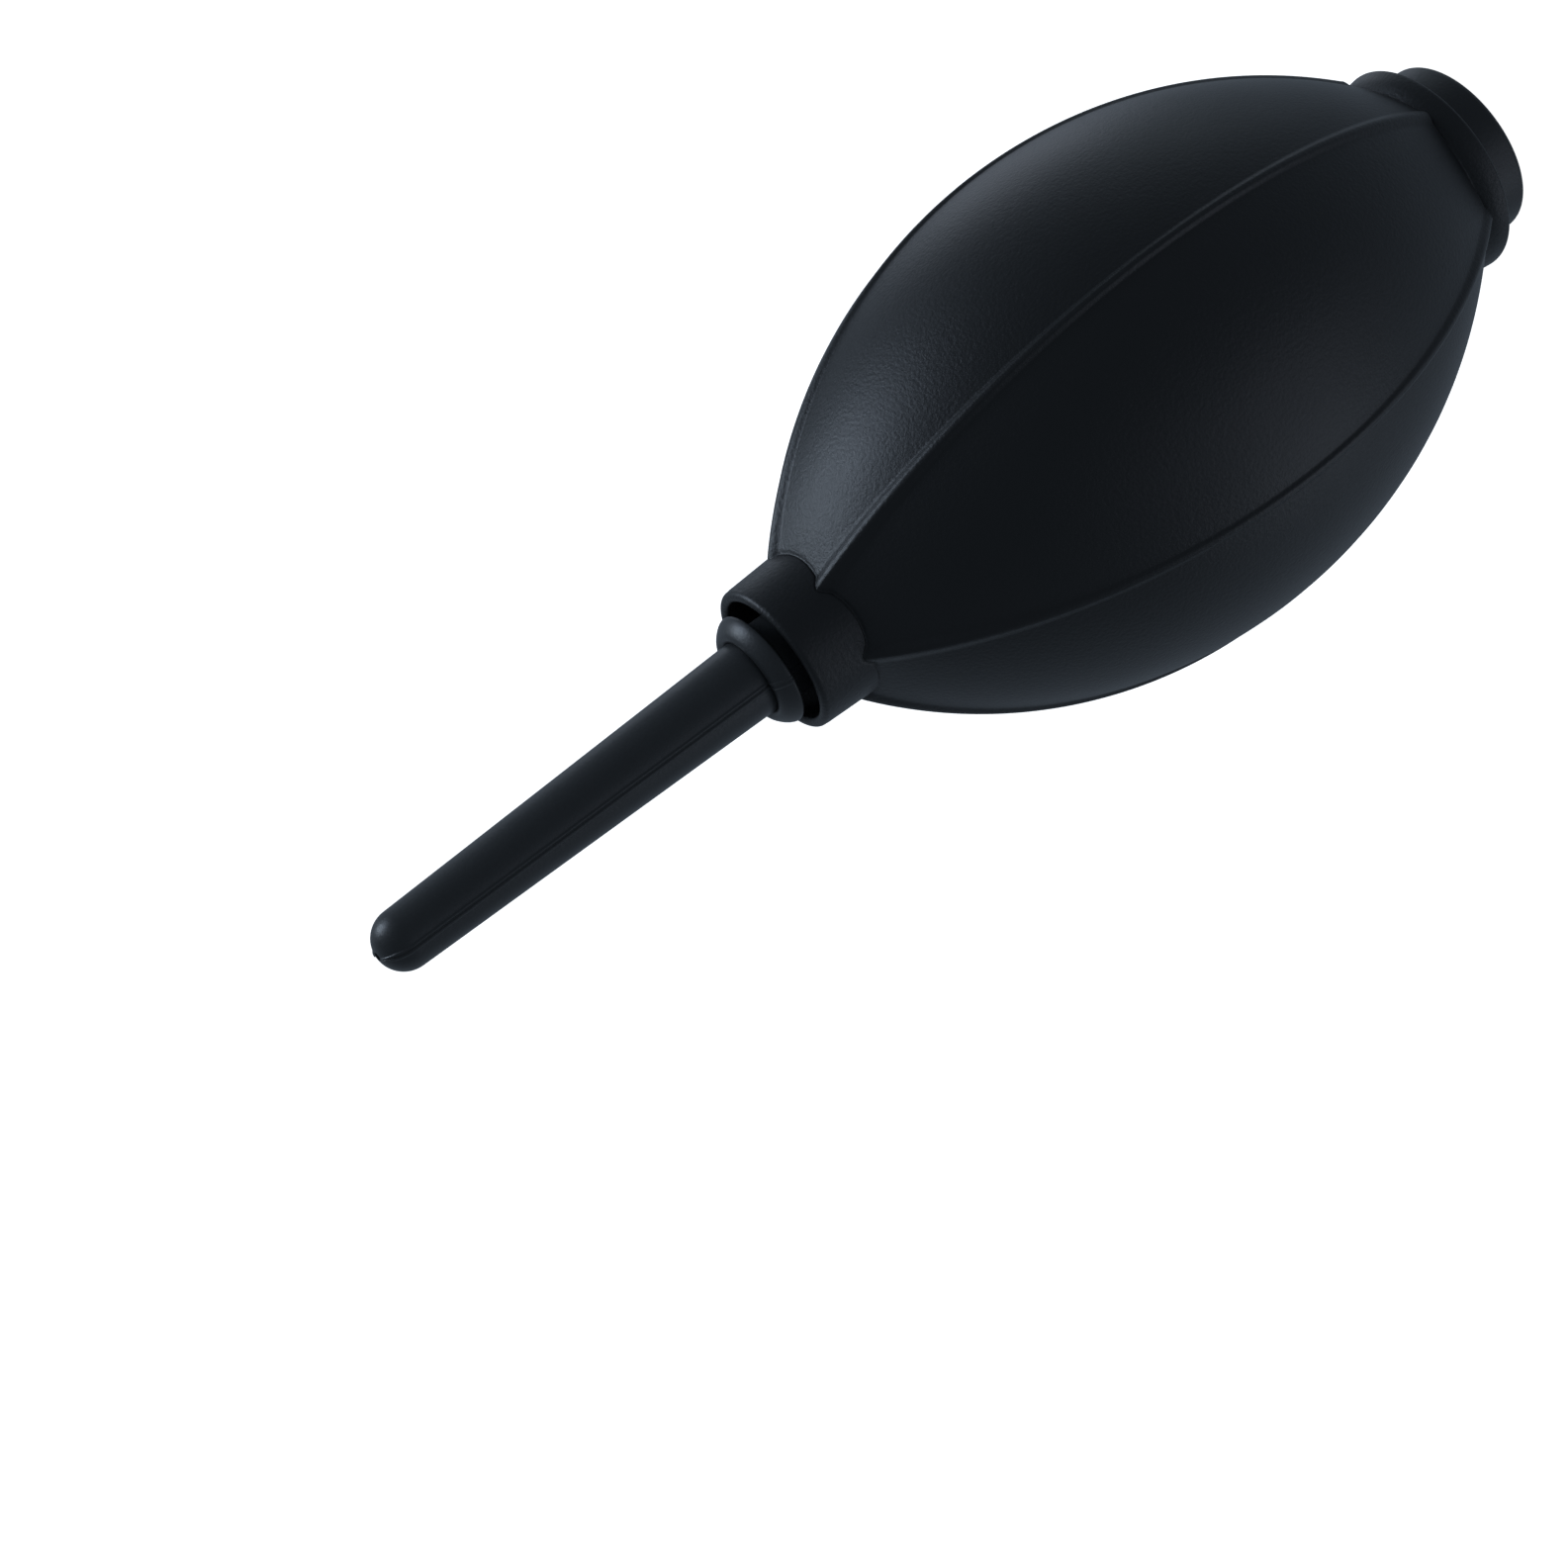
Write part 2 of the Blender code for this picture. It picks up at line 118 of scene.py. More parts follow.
PANEL_END_Z = 7.8 * MM
PANEL_END_ROUND = 0.12 * MM
PANEL_END_TURNS = (20, 45, 70)  # degrees round that edge
ARC_RINGS_END_Z = PANEL_END_Z + 0.5 * MM
PANEL_LAST_RINGS = (0.35, 0.22, 0.12, 0.05)  # in mm above PANEL_END_Z
SKIRT_TOP_RADIUS = 11.35 * MM
SKIRT_TOP_Z = 7.62 * MM
GROOVE_STEPS = ((0.35, 0.03), (0.75, 0.0), (1.0, -0.05))  # share of the way to the skirt, mm above it
SKIRT_OUTLINE = (  # radius and height in mm, from the groove down to the flange's rounded edge
    (11.42, 7.4),
    (11.56, 7.2),
    (11.76, 6.85),
    (11.94, 6.5),
    (12.08, 6.1),
    (12.19, 5.6),
    (12.25, 5.1),
)
FLANGE_RADIUS = 12.25 * MM
FLANGE_ROUND = 0.5 * MM
TAIL_BORE = 7.0 * MM
TAIL_BORE_ROUND = 0.3 * MM
TAIL_FLOOR_Z = 8.5 * MM
TAIL_BORE_STEP = 0.4 * MM

# Nozzle
NOZZLE_ROOT_RADIUS = 4.1 * MM
NOZZLE_TIP_RADIUS = 3.25 * MM
TIP_HOLE_RADIUS = 0.55 * MM
TIP_LIP_ROUND = 0.14 * MM
LIP_CLEARANCE = 1.5  # degrees of the dome left out beside the lip
DUCT_RADIUS = 1.6 * MM
TUBE_OVERLAP = 1.2 * MM  # how far the tube reaches down inside the bead
TUBE_END_FLARE = 0.05 * MM
ROOT_BORE_DEPTH = 1.4 * MM  # from the bead's top to the seat on which the tube stands
ROOT_BORE_STEP = 0.1 * MM
STEM_RADIUS = 4.4 * MM
PLUG_CLEARANCE = 0.3 * MM
PLUG_ROUND = 0.3 * MM
PLUG_TOP_Z = 91.0 * MM
PLUG_END_Z = 84.6 * MM
BEAD_OUTLINE = (  # radius and height in mm, from the tube's root over the bead and in under it
    (4.13, 100.02),
    (4.32, 100.16),
    (4.6, 100.28),
    (4.9, 100.28),
    (5.3, 100.08),
    (5.75, 99.66),
    (6.1, 99.2),
    (6.3, 98.76),
    (6.29, 98.46),
    (6.1, 98.3),
    (5.6, 98.18),
    (5.0, 98.06),
    (4.55, 97.92),
    (4.4, 97.6),
)
MOULD_LINE_AZIMUTH = -105.3
MOULD_STRIP_HALF_WIDTH = 0.45 * MM
MOULD_STRIP_HEIGHT = 0.13 * MM
MOULD_GROOVE_HALF_WIDTH = 0.1 * MM
MOULD_GROOVE_DEPTH = 0.14 * MM
MOULD_EDGE_START = 0.6  # share of the strip's half width where its edge begins to fall
MOULD_COLUMNS = (0.0, 0.035, 0.07, 0.11, 0.16, 0.22, 0.27, 0.31, 0.36, 0.41, 0.46, 0.55)  # mm from its middle
MOULD_RADIUS_MIN = 2.6 * MM  # columns are placed as on a ring at least this wide
MOULD_SHARE_ON_BEAD = 0.6  # the strip stands lower there
MOULD_START_ON_BEAD = 2  # points from the tube before the strip starts
TUBE_SIDES = 64
ROOT_SIDES = 72

# Tail cap and grille
CAP_RADIUS = 10.1 * MM
CAP_TOP_Z = 4.2 * MM
CAP_ROUND = 0.8 * MM
CAP_SHOULDER_ROUND = 0.4 * MM
CAP_RECESS_RADIUS = 7.6 * MM
CAP_RECESS_TOP_Z = 3.4 * MM
CAP_RIM_ROUND = 0.25 * MM
CAP_FINE_CHAMFER = 0.1 * MM
BARREL_RADIUS = 6.7 * MM
BARREL_TOP_Z = 11.5 * MM
BARREL_TAPER = 0.5 * MM
BARB_RADIUS = 7.8 * MM
BARB_BASE_Z = TAIL_FLOOR_Z + 0.3 * MM
BARB_TOP_Z = BARB_BASE_Z + 0.8 * MM
CHAMBER_RADIUS = 5.2 * MM
SEAT_TOP_Z = 5.2 * MM
SEAT_HOLE_RADIUS = 1.8 * MM
CAP_SIDES = 128
CORNER_STEPS = 4
CORNER_SHARE = 0.45  # of a side's length that a rounded corner may take up
GRILLE_RADIUS = 7.3 * MM
GRILLE_BASE_Z = 0.5 * MM
GRILLE_TOP_Z = 1.7 * MM
GRILLE_RIM_WIDTH = 0.9 * MM
GRILLE_SLOPE_WIDTH = 0.3 * MM
GRILLE_DISH = 0.25 * MM
GRILLE_ROUND = 0.15 * MM
GRILLE_EYE_RADIUS = 0.3 * MM  # the turned profile stops here, inside the middle hole
GRILLE_HOLE_RADIUS = 0.9 * MM
GRILLE_HOLE_CIRCLE = 4.2 * MM
GRILLE_HOLES = 6
DRILL_SIDES = 48
GRILLE_SHARP_ANGLE = 35  # degrees between two faces from which their edge is shaded sharp

# Surfaces: base colour, roughness, grain size and depth in mm, and how far the roughness wanders
BULB_RUBBER = ((0.0046, 0.005, 0.0056), 0.45, 0.4, 0.06, 0.04)
NOZZLE_RUBBER = ((0.024, 0.0255, 0.0265), 0.4, 0.35, 0.02, 0.03)
CAP_PLASTIC = ((0.012, 0.0125, 0.013), 0.45, 0.4, 0.03, 0.04)
VALVE_PLASTIC = ((0.012, 0.0125, 0.0135), 0.4, 0.2, 0.006, 0.04)
FILTER_FOAM = ((0.045, 0.046, 0.05), 0.9, 0.35, 0.15, 0.05)
GRAIN_DETAIL = 3.0
GRAIN_ROUGHNESS = 0.6
DRIFT_SIZE = 9.0 * MM
DRIFT_DETAIL = 2.0
GRAIN_SHARE = 0.5  # of the grain in the roughness: the drift has the rest
TONE_RANGE = (0.8, 1.25)  # of the base colour, from the grain's hollows to its tops

# Camera: how the axis lies to it, in degrees, and where the bulb's widest plane lies in the picture
NEAR_AZIMUTH = -79.3
ROLL = 37.413
LEAN = 17.746
DISTANCE = 15.282 * BULB_RADIUS
OFFSET_RIGHT = 0.08522  # from the picture's middle to the widest plane's middle, as a share of the distance
OFFSET_DOWN = -0.09659
LENS_MM = 92.92
SENSOR_MM = 36.0
CLIP_RANGE = (0.01, 10.0)

# Floor
FLOOR_RADIUS = 3.0
FLOOR_Z = -0.2 * MM
FLOOR_SIDES = 96
FLOOR_COLOUR = (0.9, 0.9, 0.9, 1.0)
FLOOR_ROUGHNESS = 0.9

# Light: a dim room in front of the object, a pale backdrop behind it, and a few soft boxes
ROOM_TINT = (0.82, 1.0, 1.22)
ROOM_STRENGTH = 0.15
ROOM_END = -0.3  # cosine of the angle from straight behind, where the room starts to brighten
BACKDROP_STRENGTH = 0.27
BACKDROP_START = 0.75  # the cosine from which it is all backdrop
SEEN_STRENGTH = 1.2  # of the white that the camera sees
LIGHT_DISTANCE = 0.6
LIGHTS = (
    # name, degrees from the camera's side, degrees round the picture from its right, size, watts, colour
    ("key", 85, 160, 0.3, 0.62, (0.85, 1.0, 1.25)),
    ("key_core", 92, 168, 0.18, 0.5, (0.85, 1.0, 1.15)),
    ("rear", 130, 112, 0.3, 0.17, (0.92, 1.0, 1.15)),
    ("right", 85, 338, 0.3, 0.185, (0.9, 1.0, 1.17)),
    ("lower_right", 65, 0, 0.3, 0.12, (0.93, 1.0, 1.2)),
    ("front_right", 45, 338, 0.3, 0.05, (0.9, 1.0, 1.2)),
    ("top", 105, 90, 0.3, 0.06, (0.85, 1.0, 1.1)),
)


# Points and meshes -------------------------------------------------------------------------------------


def smoothstep(x):
    x = np.clip(x, 0.0, 1.0)
    return x * x * (3 - 2 * x)


def smooth_max(a, b, blend):
    """The larger of two, rounded where they meet."""
    share = np.clip(0.5 + 0.5 * (a - b) / blend, 0.0, 1.0)
    return b + (a - b) * share + blend * share * (1 - share)


def arc(radius, centre_r, centre_z, start, end, steps):
    """Points (r, z) on a circle in the profile plane, from start to end in degrees."""
    angles = np.radians(np.linspace(start, end, steps + 1))
    return np.stack([centre_r + radius * np.cos(angles), centre_z + radius * np.sin(angles)], axis=1)


def line(start, end, steps):
    """Points (r, z) from start to end, without the start."""
    share = np.linspace(0.0, 1.0, steps + 1)[1:, None]
    return np.array(start) + (np.array(end) - np.array(start)) * share


def grid_normals(grid):
    """Unit normals of a grid of points that is closed both ways."""
    down = np.roll(grid, -1, axis=0) - np.roll(grid, 1, axis=0)
    across = np.roll(grid, -1, axis=1) - np.roll(grid, 1, axis=1)
    normals = np.cross(down, across)
    return normals / np.maximum(np.linalg.norm(normals, axis=2, keepdims=True), NEARLY_ZERO)


def grid_faces(rows, columns, wrap_columns):
    """Quads of a grid whose last row joins the first, facing out when rows run down the outside."""
    faces = []
    last = columns if wrap_columns else columns - 1
    for i in range(rows):
        upper, lower = i * columns, (i + 1) % rows * columns
        for j in range(last):
            k = (j + 1) % columns
            faces.append((upper + j, lower + j, lower + k, upper + k))
    return faces


def add_mesh(name, points, faces, material, normals=None):
    mesh = bpy.data.meshes.new(name)
    mesh.from_pydata([tuple(p) for p in points], [], faces)
    mesh.materials.append(material)
    mesh.shade_smooth()
    if normals is not None:
        mesh.normals_split_custom_set_from_vertices([tuple(n) for n in normals])
    obj = bpy.data.objects.new(name, mesh)
    bpy.context.scene.collection.objects.link(obj)
    return obj


# Bulb --------------------------------------------------------------------------------------------------


def bulb_radius(z):
    """Radius of the circle through the ribs' feet at height z."""
    along = z - WIDEST_Z
    curve = np.where(along > 0, FRONT_ARC, REAR_ARC)
    return BULB_RADIUS - curve + np.sqrt(np.maximum(curve * curve - along * along, 0.0))


def panel_dip(z):
    share = (z - WIDEST_Z) / END_DISTANCE
    return MIDDLE_DIP + (END_DIP - MIDDLE_DIP) * share * share


def rib_size(z):
    """(height, half width at the foot) of a rib at height z. Both grow towards the ends."""
    share = min(((z - WIDEST_Z) / END_DISTANCE) ** 2, RIB_GROWTH_LIMIT)
    height = RIB_HEIGHT + (RIB_END_HEIGHT - RIB_HEIGHT) * share
    foot = RIB_FOOT + (RIB_END_FOOT - RIB_FOOT) * share
    return height, foot


def columns_of(radius, foot=RIB_FOOT):
    """Azimuth, distance from the nearest rib's middle, and share of the way from a panel's middle to a rib's.

    There is one of each per column, and they are placed as on a ring of this radius.
    """
    sector = 2 * math.pi / RIB_COUNT
    steps = [RIB_FLAT * share for share in CREST_SHARES]
    steps += [RIB_FLAT + (foot - RIB_FLAT) * share for share in FLANK_SHARES]
    on_rib = [-x for x in steps[:0:-1]] + steps
    azimuths, offsets, places = [], [], []
    for rib in range(RIB_COUNT):
        for offset in on_rib:
            angle = offset / radius
            azimuths.append(rib * sector + angle)
            offsets.append(abs(offset))
            places.append(1 - abs(angle) / (sector / 2))
        start = steps[-1] / radius
        for step in range(1, PANEL_COLUMNS + 1):
            angle = start + (sector - 2 * start) * step / (PANEL_COLUMNS + 1)
            azimuths.append(rib * sector + angle)
            offsets.append(min(angle, sector - angle) * radius)
            places.append(1 - min(angle, sector - angle) / (sector / 2))
    return np.array(azimuths), np.array(offsets), np.array(places)


def rib_shape(offset, height, foot):
    return height * (1 - smoothstep((offset - RIB_FLAT) / (foot - RIB_FLAT)))


def cuff_radius(z):
    up = (z - CUFF_BASE_Z) / (CUFF_TOP_Z - CUFF_BASE_Z)
    return CUFF_BASE_RADIUS + (CUFF_TOP_RADIUS - CUFF_BASE_RADIUS) * up


def ring_points(azimuths, radii, z):
    z = np.broadcast_to(z, radii.shape)
    return np.stack([radii * np.cos(azimuths), radii * np.sin(azimuths), z], axis=1)


def round_ring(radius, z):
    azimuths = columns_of(max(radius, ROUND_RADIUS_MIN))[0]
    return ring_points(azimuths, np.full(len(azimuths), radius), z)


def panel_surface(z):
    """(azimuths, radii) of the ribbed outside at height z, before the cuff is added."""
    radius = max(float(bulb_radius(z)), PANEL_RADIUS_MIN)
    height, foot = rib_size(z)
    azimuths, offsets, places = columns_of(radius, foot)
    dip = panel_dip(z) * (1 - places**2)
    return azimuths, float(bulb_radius(z)) - dip + rib_shape(offsets, height, foot)


def profile_heights(start, end, count):
    """Heights from start to end, evenly spaced in angle along the bulb's two arcs."""
    angles = []
    for z in (start, end):
        curve = FRONT_ARC if z > WIDEST_Z else REAR_ARC
        angles.append(math.asin((z - WIDEST_Z) / curve))
    heights = []
    for angle in np.linspace(*angles, count):
        curve = FRONT_ARC if angle > 0 else REAR_ARC
        heights.append(WIDEST_Z + curve * math.sin(angle))
    return heights


def outer_rings():
    """Rings from the mouth's rim down the outside to the tail's end face."""
    inner, outer = RIM_INNER_ROUND, RIM_OUTER_ROUND
    rim = np.concatenate(
        [
            arc(inner, MOUTH_RADIUS + inner, CUFF_TOP_Z - inner, 180, 90, 6),
            arc(outer, CUFF_TOP_RADIUS - outer, CUFF_TOP_Z - outer, 90, 0, 8),
        ]
    )
    rings = [round_ring(r, z) for r, z in rim]
    heights = list(np.arange(*CUFF_WIDE_RINGS) * MM) + list(np.arange(*CUFF_CLOSE_RINGS) * MM)
    heights += profile_heights(ARC_RINGS_TOP_Z, ARC_RINGS_END_Z, PROFILE_RINGS)
    heights += [PANEL_END_Z + step * MM for step in PANEL_LAST_RINGS]
    for z in heights:
        azimuths, radii = panel_surface(z)
        if z > CUFF_BLEND_Z:
            cuff = cuff_radius(z)
            crease = np.exp(-(((radii - cuff) / CUFF_CREASE_WIDTH) ** 2))
            radii = smooth_max(radii, cuff, CUFF_FILLET) - CUFF_CREASE_DEPTH * crease
        rings.append(ring_points(azimuths, radii, z))
    rings += flange_rings()
    return rings


def flange_rings():
    """From the panels' rounded ends into the groove, down the flared skirt, and in across the end face."""
    azimuths, end = panel_surface(PANEL_END_Z)
    rings = []
    for turn in np.radians(PANEL_END_TURNS):
        radii = end - PANEL_END_ROUND * (1 - math.cos(turn))
        rings.append(ring_points(azimuths, radii, PANEL_END_Z - PANEL_END_ROUND * math.sin(turn)))
    for share, lift in GROOVE_STEPS:
        radii = end + (SKIRT_TOP_RADIUS - end) * share
        rings.append(ring_points(azimuths, radii, SKIRT_TOP_Z + lift * MM))
    rings += [ring_points(azimuths, np.full(len(azimuths), r * MM), z * MM) for r, z in SKIRT_OUTLINE]
    corner, bore_edge = FLANGE_RADIUS - FLANGE_ROUND, TAIL_BORE + TAIL_BORE_ROUND
    edge = np.concatenate(
        [
            arc(FLANGE_ROUND, corner, FLANGE_BASE_Z + FLANGE_ROUND, 0, -90, 6),
            line((corner, FLANGE_BASE_Z), (bore_edge, FLANGE_BASE_Z), 4),
            arc(TAIL_BORE_ROUND, bore_edge, FLANGE_BASE_Z + TAIL_BORE_ROUND, -90, -180, 3)[1:],
        ]
    )
    rings += [round_ring(r, z) for r, z in edge]
    return rings


def inner_rings():
    """From the tail bore up through the air chamber to the recess in the mouth."""
    rings = [round_ring(TAIL_BORE, TAIL_FLOOR_Z - TAIL_BORE_STEP), round_ring(TAIL_BORE, TAIL_FLOOR_Z)]
    for z in profile_heights(TAIL_FLOOR_Z, NECK_CEILING_Z, INNER_RINGS):
        rings.append(round_ring(float(bulb_radius(z)) - WALL, z))
    chamfer = MOUTH_FLOOR_CHAMFER
    neck = [(NECK_BORE, z) for z in (NECK_CEILING_Z, MOUTH_FLOOR_Z - chamfer, MOUTH_FLOOR_Z)]
    neck += [(MOUTH_RADIUS - chamfer, MOUTH_FLOOR_Z), (MOUTH_RADIUS, MOUTH_FLOOR_Z + chamfer)]
    rings += [round_ring(r, z) for r, z in neck]
    return rings


def make_bulb_skins(material):
    """The bulb's wall, cut through the middles of two opposite ribs. Each half is closed by its cut faces."""
    grid = np.array(outer_rings() + inner_rings())
    normals = grid_normals(grid)
    columns = grid.shape[1]
    half = columns // 2
    middle = len(CREST_SHARES) + len(FLANK_SHARES) - 1  # the column in the middle of the first rib
    skins = []
    for name, start in (("bulb_skin_back", middle), ("bulb_skin_front", middle + half)):
        picked = np.arange(start, start + half + 1) % columns
        part, part_normals = grid[:, picked], normals[:, picked]
        for end in (0, -1):  # the halves meet exactly in the plane y = 0
            part[:, end, 1] = 0.0
        rows, across = part.shape[:2]
        faces = grid_faces(rows, across, False)
        faces.append(tuple(i * across for i in range(rows)))
        faces.append(tuple(i * across + across - 1 for i in reversed(range(rows))))
        skins.append(add_mesh(name, part.reshape(-1, 3), faces, material, part_normals.reshape(-1, 3)))
    return skins


# Turned pieces -----------------------------------------------------------------------------------------


def smooth_curve(points, steps):
    """A curve through all the points (Catmull-Rom), with this many steps from each to the next."""
    points = np.array(points, float)
    padded = np.concatenate([2 * points[:1] - points[1:2], points, 2 * points[-1:] - points[-2:-1]])
    found = []
    for i in range(len(points) - 1):
        before, start, end, after = padded[i : i + 4]
        for t in np.linspace(0.0, 1.0, steps, endpoint=False):
            bend = (2 * before - 5 * start + 4 * end - after) * t * t
            twist = (3 * start - before - 3 * end + after) * t**3
            found.append(0.5 * (2 * start + (end - before) * t + bend + twist))
    return np.array(found + [points[-1]])


def mould_line(offset):
    """Height of the parting strip at this distance from its middle: a flat strip with a fine groove."""
    edge = (abs(offset) / MOULD_STRIP_HALF_WIDTH - MOULD_EDGE_START) / (1 - MOULD_EDGE_START)
    groove = MOULD_GROOVE_DEPTH * math.exp(-((offset / MOULD_GROOVE_HALF_WIDTH) ** 2))
    return MOULD_STRIP_HEIGHT * (1 - float(smoothstep(edge))) - groove


def mould_columns(radius, sides):
    """Azimuths round a turned piece, close together on its two mould lines, and the line's height at each."""
    half = np.array(MOULD_COLUMNS) * MM
    offsets = np.concatenate([-half[:0:-1], half])
    start = math.radians(MOULD_LINE_AZIMUTH)
    azimuths, heights = [], []
    for turn in (0.0, math.pi):
        for offset in offsets:
            azimuths.append(start + turn + offset / radius)
            heights.append(mould_line(offset))
        edge = offsets[-1] / radius
        for angle in np.linspace(edge, math.pi - edge, sides // 2 + 1)[1:-1]:
            azimuths.append(start + turn + angle)
            heights.append(0.0)
    return np.array(azimuths), np.array(heights)


def turned(name, profile, sides, material, line_share=None):
    """A closed profile turned about Z. line_share says how far the mould line stands at each point."""
    profile = np.array(profile)
    tangent = np.roll(profile, -1, axis=0) - np.roll(profile, 1, axis=0)
    outward = np.stack([-tangent[:, 1], tangent[:, 0]], axis=1)
    outward /= np.maximum(np.linalg.norm(outward, axis=1, keepdims=True), NEARLY_ZERO)
    rings = []
    for i, (r, z) in enumerate(profile):
        if line_share is None:
            azimuths = np.linspace(0.0, 2 * math.pi, sides, endpoint=False)
            lift = np.zeros(sides)
        else:
            azimuths, lift = mould_columns(max(r, MOULD_RADIUS_MIN), sides)
            lift = lift * line_share[i]
        rings.append(ring_points(azimuths, r + outward[i, 0] * lift, z + outward[i, 1] * lift))
    grid = np.array(rings)
    rows, across = grid.shape[:2]
    faces = grid_faces(rows, across, True)
    return add_mesh(name, grid.reshape(-1, 3), faces, material, grid_normals(grid).reshape(-1, 3))


def rounded_corners(points, radius):
    """A closed profile with each corner rounded by this radius, or by less on a short side."""
    points = np.array(points, float)
    found = []
    for i, corner in enumerate(points):
        before, after = points[i - 1] - corner, points[(i + 1) % len(points)] - corner
        lengths = np.linalg.norm(before), np.linalg.norm(after)
        reach = min(radius, CORNER_SHARE * lengths[0], CORNER_SHARE * lengths[1])
        start, end = corner + before / lengths[0] * reach, corner + after / lengths[1] * reach
        for t in np.linspace(0.0, 1.0, CORNER_STEPS + 1):
            found.append((1 - t) ** 2 * start + 2 * t * (1 - t) * corner + t * t * end)
    return np.array(found)


def make_nozzle_tube(material):
    """The soft tube, from inside the bead to its domed tip, with its mould lines and a round hole."""
    dome_z = NOZZLE_TOP_Z - NOZZLE_TIP_RADIUS
    end_z = BEAD_OUTLINE[0][1] * MM - TUBE_OVERLAP
    lip_radius = TIP_HOLE_RADIUS + TIP_LIP_ROUND
    lip_angle = math.degrees(math.acos(lip_radius / NOZZLE_TIP_RADIUS))
    lip_z = dome_z + NOZZLE_TIP_RADIUS * math.sin(math.radians(lip_angle)) - TIP_LIP_ROUND
    profile = [arc(TIP_LIP_ROUND, lip_radius, lip_z, 180, 100, 4)]
    lip_points = len(profile[0])
    profile.append(arc(NOZZLE_TIP_RADIUS, 0.0, dome_z, lip_angle - LIP_CLEARANCE, 0, 16))
    profile.append(line((NOZZLE_TIP_RADIUS, dome_z), (NOZZLE_ROOT_RADIUS, BEND_Z), 44))
    profile.append(line((NOZZLE_ROOT_RADIUS, BEND_Z), (NOZZLE_ROOT_RADIUS + TUBE_END_FLARE, end_z), 6))
    outside = sum(len(part) for part in profile)
    profile.append(np.array([(DUCT_RADIUS, end_z)]))
    profile.append(line((DUCT_RADIUS, end_z), (TIP_HOLE_RADIUS, dome_z), 12))
    profile = np.concatenate(profile)
    share = np.zeros(len(profile))
    share[lip_points:outside] = 1.0
    return turned("nozzle_tube_soft", profile, TUBE_SIDES, material, share)


def make_nozzle_root(material):
    """Bead, stem and plug, one moulding with the tube."""
    plug_radius = NECK_BORE - PLUG_CLEARANCE
    shoulder_z = PLUG_TOP_Z - PLUG_ROUND
    bead = smooth_curve(BEAD_OUTLINE, 4) * MM
    profile = [bead, line(tuple(bead[-1]), (STEM_RADIUS, PLUG_TOP_Z), 4)]
    outside = sum(len(part) for part in profile)
    profile.append(arc(PLUG_ROUND, plug_radius - PLUG_ROUND, shoulder_z, 90, 0, 4))
    profile.append(line((plug_radius, shoulder_z), (plug_radius, PLUG_END_Z), 4))
    seat_z = BEAD_OUTLINE[0][1] * MM - ROOT_BORE_DEPTH
    profile.append(np.array([(DUCT_RADIUS, PLUG_END_Z), (DUCT_RADIUS, seat_z)]))
    profile.append(np.array([(NOZZLE_ROOT_RADIUS - ROOT_BORE_STEP, seat_z)]))
    profile = np.concatenate(profile)
    share = np.zeros(len(profile))
    share[MOULD_START_ON_BEAD:outside] = MOULD_SHARE_ON_BEAD
    return turned("nozzle_root", profile, ROOT_SIDES, material, share)


def make_tail_cap(material):
    """Tail cap and valve barrel: what the blower stands on, with a recess in its end."""
    shoulder, foot = CAP_RADIUS - CAP_SHOULDER_ROUND, CAP_RADIUS - CAP_ROUND
    shoulder_z = CAP_TOP_Z - CAP_SHOULDER_ROUND
    chamfer = CAP_FINE_CHAMFER
    barrel = [(CHAMBER_RADIUS, BARREL_TOP_Z), (BARREL_RADIUS - BARREL_TAPER, BARREL_TOP_Z)]
    barrel += [(BARB_RADIUS, BARB_TOP_Z), (BARB_RADIUS, BARB_BASE_Z), (BARREL_RADIUS, BARB_BASE_Z)]
    barrel += [(BARREL_RADIUS, CAP_TOP_Z + chamfer), (BARREL_RADIUS + chamfer, CAP_TOP_Z)]
    rim = CAP_RECESS_RADIUS + CAP_RIM_ROUND
    recess = [(CAP_RECESS_RADIUS, CAP_RECESS_TOP_Z - chamfer)]
    recess += [(CAP_RECESS_RADIUS - chamfer, CAP_RECESS_TOP_Z), (SEAT_HOLE_RADIUS, CAP_RECESS_TOP_Z)]
    seat = [(SEAT_HOLE_RADIUS, SEAT_TOP_Z), (CHAMBER_RADIUS, SEAT_TOP_Z)]
    profile = np.concatenate(
        [
            np.array(barrel),
            line(barrel[-1], (shoulder - chamfer, CAP_TOP_Z), 3),
            arc(CAP_SHOULDER_ROUND, shoulder, shoulder_z, 90, 0, 6),
            line((CAP_RADIUS, shoulder_z), (CAP_RADIUS, CAP_ROUND), 4)[:-1],
            arc(CAP_ROUND, foot, CAP_ROUND, 0, -90, 8),
            line((foot, 0.0), (rim, 0.0), 4)[:-1],
            arc(CAP_RIM_ROUND, rim, CAP_RIM_ROUND, -90, -180, 5),
            np.array(recess + seat),
        ]
    )
    return turned("tail_cap", profile, CAP_SIDES, material)


def make_drill(name, place):
    """A cylinder that reaches 1 mm past both faces of the grille."""
    low, high = GRILLE_BASE_Z - MM, GRILLE_TOP_Z + MM
    form = bmesh.new()
    bmesh.ops.create_cone(
        form,
        cap_ends=True,
        segments=DRILL_SIDES,
        radius1=GRILLE_HOLE_RADIUS,
        radius2=GRILLE_HOLE_RADIUS,
        depth=high - low,
    )
    bmesh.ops.translate(form, vec=(place[0], place[1], (low + high) / 2), verts=form.verts)
    mesh = bpy.data.meshes.new(name)
    form.to_mesh(mesh)
    form.free()
    drill = bpy.data.objects.new(name, mesh)
    bpy.context.scene.collection.objects.link(drill)
    return drill


